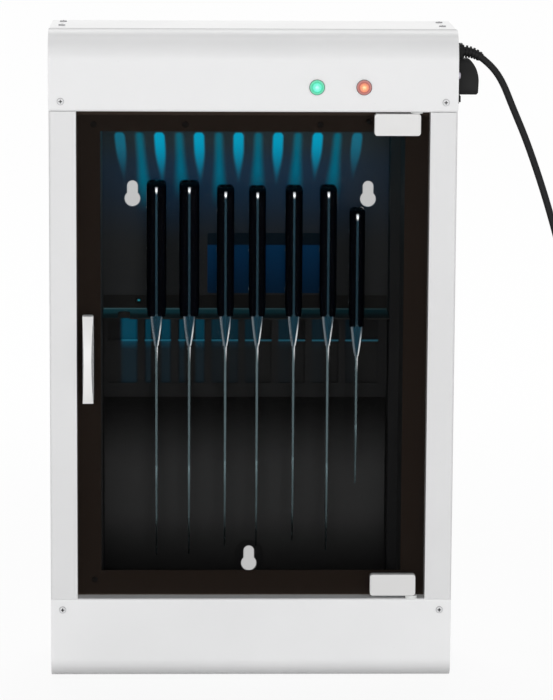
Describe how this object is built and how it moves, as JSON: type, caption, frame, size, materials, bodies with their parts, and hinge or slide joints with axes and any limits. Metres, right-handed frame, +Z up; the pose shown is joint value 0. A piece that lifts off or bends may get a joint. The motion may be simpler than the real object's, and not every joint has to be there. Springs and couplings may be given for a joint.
{
  "type": "knife steriliser cabinet",
  "caption": "Shallow wall cabinet with a hinged glass door, a lamp behind a slotted ceiling, and a comb rack that holds kitchen knives handle up.",
  "frame": {"origin": "middle of the base, on the surface it stands on", "axes": "+X to the right seen from the front, +Y towards the back, +Z up"},
  "size_m": [0.6343, 0.1845, 0.6494],
  "materials": {
    "white_paint": "satin powder coat",
    "dark_paint": "satin powder coat",
    "bare_steel": "satin",
    "zinc_steel": "zinc plated",
    "plate_film": "gloss",
    "smoked_glass": "polished, smoked",
    "white_metal": "satin powder coat",
    "nylon": "matt",
    "black_plastic": "matt",
    "chrome_ring": "bright",
    "green_lens": "translucent",
    "red_lens": "translucent",
    "lamp_glass": "clear",
    "lamp_metal": "satin",
    "lamp_socket": "matt",
    "ballast_case": "satin",
    "terminal_plastic": "matt",
    "cord_plastic": "matt",
    "plug_plastic": "matt",
    "plug_brass": "nickel plated",
    "blade_steel": "ground",
    "handle_black": "gloss"
  },
  "bodies": {
    "cabinet": {"side_panels": "white_paint", "back_panel": "white_paint", "top_plate": "white_paint", "bottom_plate": "white_paint", "upper_cover": "white_paint", "lower_cover": "white_paint", "cover_brackets": "zinc_steel", "cover_screws": "zinc_steel", "door_frame": "dark_paint", "frame_screws": "zinc_steel", "chamber_liner": "dark_paint", "chamber_floor": "dark_paint", "slotted_ceiling": "dark_paint", "lower_panel": "bare_steel", "blank_plate": "plate_film", "knife_rack": "bare_steel", "rack_screws": "zinc_steel", "blade_guard": "bare_steel", "pivot_bushes": "nylon", "magnet_catch": "black_plastic", "switch_body": "black_plastic", "light_bezels": "chrome_ring", "green_lens": "green_lens", "red_lens": "red_lens", "lamp_tube": "lamp_glass", "lamp_caps": "lamp_metal", "lamp_holders": "lamp_socket", "ballast": "ballast_case", "terminal_block": "terminal_plastic", "mains_inlet": "black_plastic", "inlet_screws": "zinc_steel", "mains_connector": "plug_plastic", "strain_relief": "plug_plastic", "mains_cord": "cord_plastic", "cord_coil": "cord_plastic", "mains_plug": "plug_plastic", "plug_pins": "plug_brass"},
    "door": {"door_glass": "smoked_glass", "upper_hinge_clamp": "white_metal", "lower_hinge_clamp": "white_metal", "hinge_pins": "zinc_steel", "clamp_screws": "zinc_steel", "bow_handle": "white_metal", "handle_screws": "zinc_steel", "strike_plate": "zinc_steel"},
    "plunger": {"switch_plunger": "black_plastic"},
    "knife_1": {"knife_1_blade": "blade_steel", "knife_1_handle": "handle_black"},
    "knife_2": {"knife_2_blade": "blade_steel", "knife_2_handle": "handle_black"},
    "knife_3": {"knife_3_blade": "blade_steel", "knife_3_handle": "handle_black"},
    "knife_4": {"knife_4_blade": "blade_steel", "knife_4_handle": "handle_black"},
    "knife_5": {"knife_5_blade": "blade_steel", "knife_5_handle": "handle_black"},
    "knife_6": {"knife_6_blade": "blade_steel", "knife_6_handle": "handle_black"},
    "knife_7": {"knife_7_blade": "blade_steel", "knife_7_handle": "handle_black"}
  },
  "joints": [
    {"name": "door_hinge", "type": "hinge", "parent": "cabinet", "child": "door", "pos_m": [0.16, -0.0642, 0.3275], "axis": [0, 0, 1], "range_deg": [0, 110]},
    {"name": "switch_press", "type": "slide", "parent": "cabinet", "child": "plunger", "axis": [0, 1, 0], "range_m": [0, 0.0025], "stiffness_N_per_m": 300},
    {"name": "knife_1_lift", "type": "slide", "parent": "cabinet", "child": "knife_1", "axis": [0, 0, 1], "range_m": [0, 0.04]},
    {"name": "knife_2_lift", "type": "slide", "parent": "cabinet", "child": "knife_2", "axis": [0, 0, 1], "range_m": [0, 0.04]},
    {"name": "knife_3_lift", "type": "slide", "parent": "cabinet", "child": "knife_3", "axis": [0, 0, 1], "range_m": [0, 0.04]},
    {"name": "knife_4_lift", "type": "slide", "parent": "cabinet", "child": "knife_4", "axis": [0, 0, 1], "range_m": [0, 0.04]},
    {"name": "knife_5_lift", "type": "slide", "parent": "cabinet", "child": "knife_5", "axis": [0, 0, 1], "range_m": [0, 0.04]},
    {"name": "knife_6_lift", "type": "slide", "parent": "cabinet", "child": "knife_6", "axis": [0, 0, 1], "range_m": [0, 0.04]},
    {"name": "knife_7_lift", "type": "slide", "parent": "cabinet", "child": "knife_7", "axis": [0, 0, 1], "range_m": [0, 0.04]}
  ]
}
